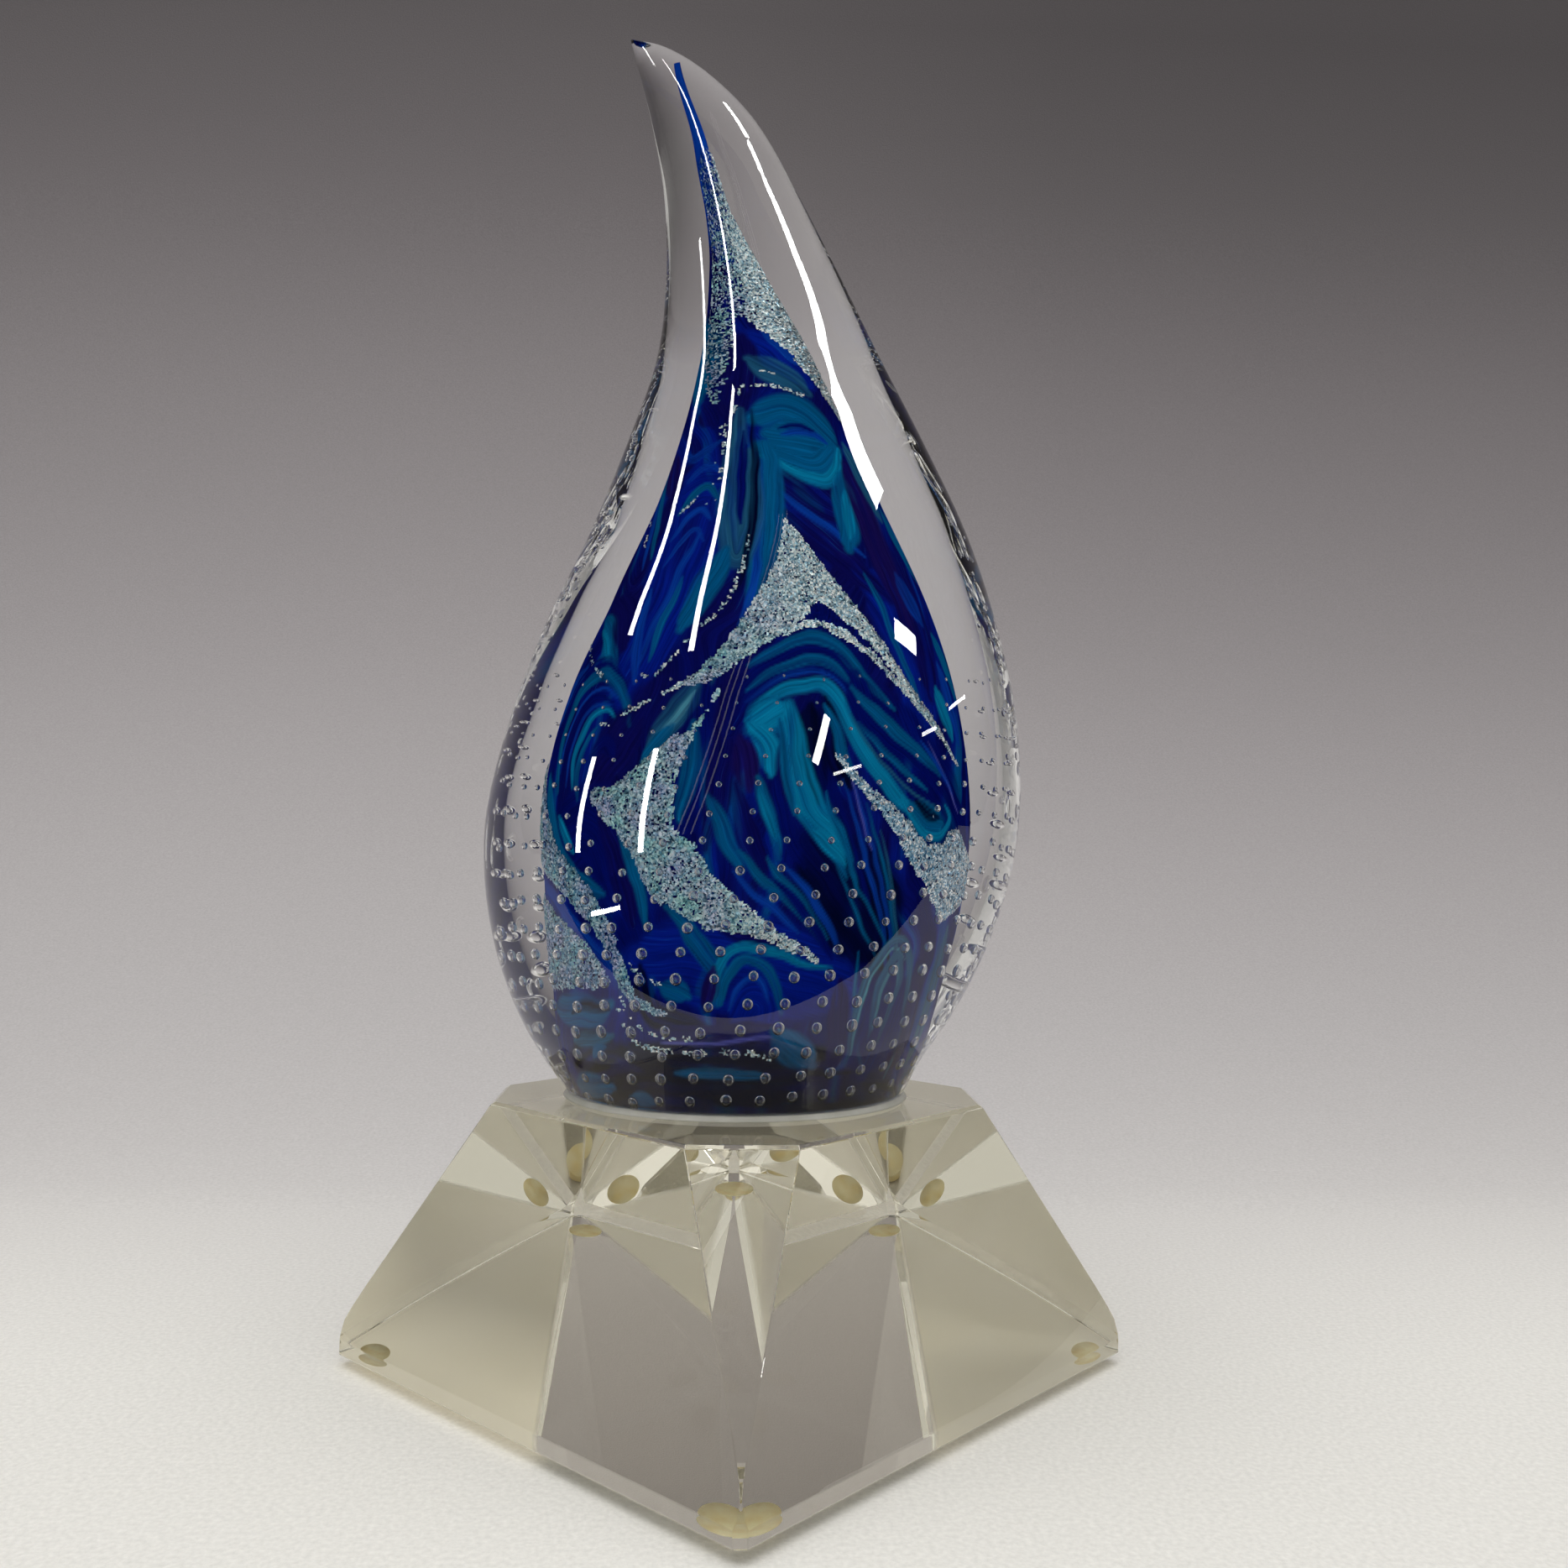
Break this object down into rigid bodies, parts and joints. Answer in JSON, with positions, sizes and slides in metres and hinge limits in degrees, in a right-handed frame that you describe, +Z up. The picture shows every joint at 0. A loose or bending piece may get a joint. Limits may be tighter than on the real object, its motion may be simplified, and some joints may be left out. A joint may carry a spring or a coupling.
{
  "type": "crystal award",
  "caption": "Clear glass flame sculpture with a swirled blue core, glitter patches and trapped bubbles, glued on a faceted clear base with soft feet.",
  "frame": {"origin": "centre of the footprint on the table plane, under the soles of the bumpers", "axes": "+Z up along the flame, -Y towards the base corner that faces the viewer, the flame's tip leans towards -X"},
  "size_m": [0.1416, 0.1416, 0.2488],
  "materials": {
    "base_crystal": "polished optical crystal",
    "clear_glass": "fire-polished, glossy",
    "core_glass": "glossy swirled cobalt, teal and violet",
    "glitter": "crinkled metallic film",
    "adhesive": "clear, glossy",
    "bumper": "clear urethane, yellowed"
  },
  "bodies": {
    "root": {"crystal_base": "base_crystal", "flame_casing": "clear_glass", "colour_core": "core_glass", "glitter_top": "glitter", "glitter_centre": "glitter", "glitter_arc": "glitter", "glitter_lower": "glitter", "glitter_right": "glitter", "glitter_left": "glitter", "glitter_left_low": "glitter", "adhesive_film": "adhesive", "bumper_front": "bumper", "bumper_right": "bumper", "bumper_back": "bumper", "bumper_left": "bumper"}
  },
  "joints": []
}
